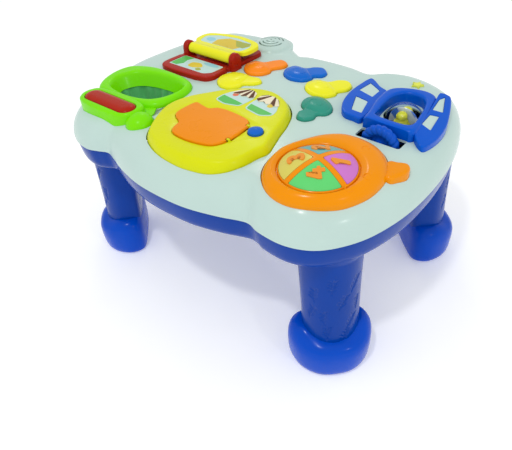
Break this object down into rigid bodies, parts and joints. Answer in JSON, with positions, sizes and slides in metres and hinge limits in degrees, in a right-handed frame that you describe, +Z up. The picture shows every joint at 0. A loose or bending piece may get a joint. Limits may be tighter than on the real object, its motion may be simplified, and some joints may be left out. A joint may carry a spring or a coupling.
{
  "type": "musical activity table",
  "caption": "Low toddler play table on four boot-shaped legs, with a ball hoop, play house flap door, flip book, musical keys, spinning ball and numbered press pad.",
  "frame": {"origin": "centre of the bounding box on the floor, under the middle of the table", "axes": "+Z up, +X along the length towards the numbered pad and spinning ball, -Y towards the child's side with the play house and hoop"},
  "size_m": [0.51, 0.3859, 0.2895],
  "materials": {
    "shell_plastic": "glossy",
    "blue_plastic": "glossy",
    "lime_plastic": "glossy",
    "yellow_plastic": "glossy",
    "orange_plastic": "glossy",
    "red_plastic": "glossy",
    "teal_plastic": "glossy",
    "bright_blue_plastic": "glossy",
    "clear_plastic": "clear glossy",
    "pad_magenta": "satin translucent",
    "pad_aqua": "satin translucent",
    "pad_yellow": "satin translucent",
    "pad_green": "satin translucent",
    "net_mesh": "woven mesh",
    "picture_label": "printed, glossy laminate",
    "awning_label": "printed",
    "figure_plastic": "glossy",
    "swirl_plastic": "glossy",
    "steel": "brushed",
    "rubber_grey": "matte",
    "board": "satin",
    "black_plastic": "matte",
    "led": "glossy",
    "battery_wrap": "glossy"
  },
  "bodies": {
    "table": {"top_shell": "shell_plastic", "bottom_tray": "blue_plastic", "leg_front_left": "blue_plastic", "leg_front_right": "blue_plastic", "leg_back_left": "blue_plastic", "leg_back_right": "blue_plastic", "boot_front_left": "blue_plastic", "boot_front_right": "blue_plastic", "boot_back_left": "blue_plastic", "boot_back_right": "blue_plastic", "casing_screws": "steel", "ball_hoop": "lime_plastic", "hoop_net": "net_mesh", "house_panel": "yellow_plastic", "house_windows": "picture_label", "house_awnings": "awning_label", "door_picture": "picture_label", "door_pin": "steel", "book_base": "red_plastic", "book_picture": "picture_label", "book_pin": "steel", "window_frame": "bright_blue_plastic", "star_light": "yellow_plastic", "pad_housing": "orange_plastic", "speaker": "black_plastic", "key_board": "board", "front_board": "board", "bar_board": "board", "contact_domes": "rubber_grey", "pad_lights": "led", "battery_box": "blue_plastic", "batteries": "battery_wrap", "battery_contacts": "steel", "battery_door": "blue_plastic", "battery_screw": "steel"},
    "bar": {"hoop_bar": "red_plastic"},
    "door": {"house_door": "orange_plastic"},
    "doorbell": {"house_button": "bright_blue_plastic"},
    "page": {"book_page": "yellow_plastic", "page_picture": "picture_label"},
    "orange_key": {"key_orange": "orange_plastic"},
    "lemon_key": {"key_lemon": "yellow_plastic"},
    "blue_key": {"key_blue": "bright_blue_plastic"},
    "yellow_key": {"key_yellow": "yellow_plastic"},
    "teal_key": {"key_teal": "teal_plastic"},
    "spinner": {"spin_ball": "clear_plastic", "spin_figure": "figure_plastic", "spin_swirl": "swirl_plastic", "spin_axle": "steel", "spin_wheel": "bright_blue_plastic"},
    "pad_1": {"number_pad_1": "pad_magenta"},
    "pad_2": {"number_pad_2": "pad_aqua"},
    "pad_3": {"number_pad_3": "pad_yellow"},
    "pad_4": {"number_pad_4": "pad_green"},
    "switch": {"power_switch": "red_plastic"}
  },
  "joints": [
    {"name": "press_bar", "type": "slide", "parent": "table", "child": "bar", "axis": [0, 0, 1], "range_m": [-0.0025, 0], "stiffness_N_per_m": 400, "springref_m": 0.004},
    {"name": "press_doorbell", "type": "slide", "parent": "table", "child": "doorbell", "axis": [0, 0, 1], "range_m": [-0.0025, 0], "stiffness_N_per_m": 400, "springref_m": 0.004},
    {"name": "press_orange_key", "type": "slide", "parent": "table", "child": "orange_key", "axis": [0, 0, 1], "range_m": [-0.0025, 0], "stiffness_N_per_m": 400, "springref_m": 0.004},
    {"name": "press_lemon_key", "type": "slide", "parent": "table", "child": "lemon_key", "axis": [0, 0, 1], "range_m": [-0.0025, 0], "stiffness_N_per_m": 400, "springref_m": 0.004},
    {"name": "press_blue_key", "type": "slide", "parent": "table", "child": "blue_key", "axis": [0, 0, 1], "range_m": [-0.0025, 0], "stiffness_N_per_m": 400, "springref_m": 0.004},
    {"name": "press_yellow_key", "type": "slide", "parent": "table", "child": "yellow_key", "axis": [0, 0, 1], "range_m": [-0.0025, 0], "stiffness_N_per_m": 400, "springref_m": 0.004},
    {"name": "press_teal_key", "type": "slide", "parent": "table", "child": "teal_key", "axis": [0, 0, 1], "range_m": [-0.0025, 0], "stiffness_N_per_m": 400, "springref_m": 0.004},
    {"name": "press_pad_1", "type": "slide", "parent": "table", "child": "pad_1", "axis": [0, 0, 1], "range_m": [-0.0025, 0], "stiffness_N_per_m": 400, "springref_m": 0.004},
    {"name": "press_pad_2", "type": "slide", "parent": "table", "child": "pad_2", "axis": [0, 0, 1], "range_m": [-0.0025, 0], "stiffness_N_per_m": 400, "springref_m": 0.004},
    {"name": "press_pad_3", "type": "slide", "parent": "table", "child": "pad_3", "axis": [0, 0, 1], "range_m": [-0.0025, 0], "stiffness_N_per_m": 400, "springref_m": 0.004},
    {"name": "press_pad_4", "type": "slide", "parent": "table", "child": "pad_4", "axis": [0, 0, 1], "range_m": [-0.0025, 0], "stiffness_N_per_m": 400, "springref_m": 0.004},
    {"name": "open_door", "type": "hinge", "parent": "table", "child": "door", "pos_m": [0.0474, -0.096, 0.2746], "axis": [0, 1, 0], "range_deg": [0, 100]},
    {"name": "turn_page", "type": "hinge", "parent": "table", "child": "page", "pos_m": [-0.126, 0.047, 0.28], "axis": [1, 0, 0], "range_deg": [0, 170]},
    {"name": "spin_wheel", "type": "hinge", "parent": "table", "child": "spinner", "pos_m": [0.182, 0, 0.2555], "axis": [0, 1, 0], "continuous": true},
    {"name": "slide_switch", "type": "slide", "parent": "table", "child": "switch", "axis": [1, 0, 0], "range_m": [0, 0.004]}
  ]
}
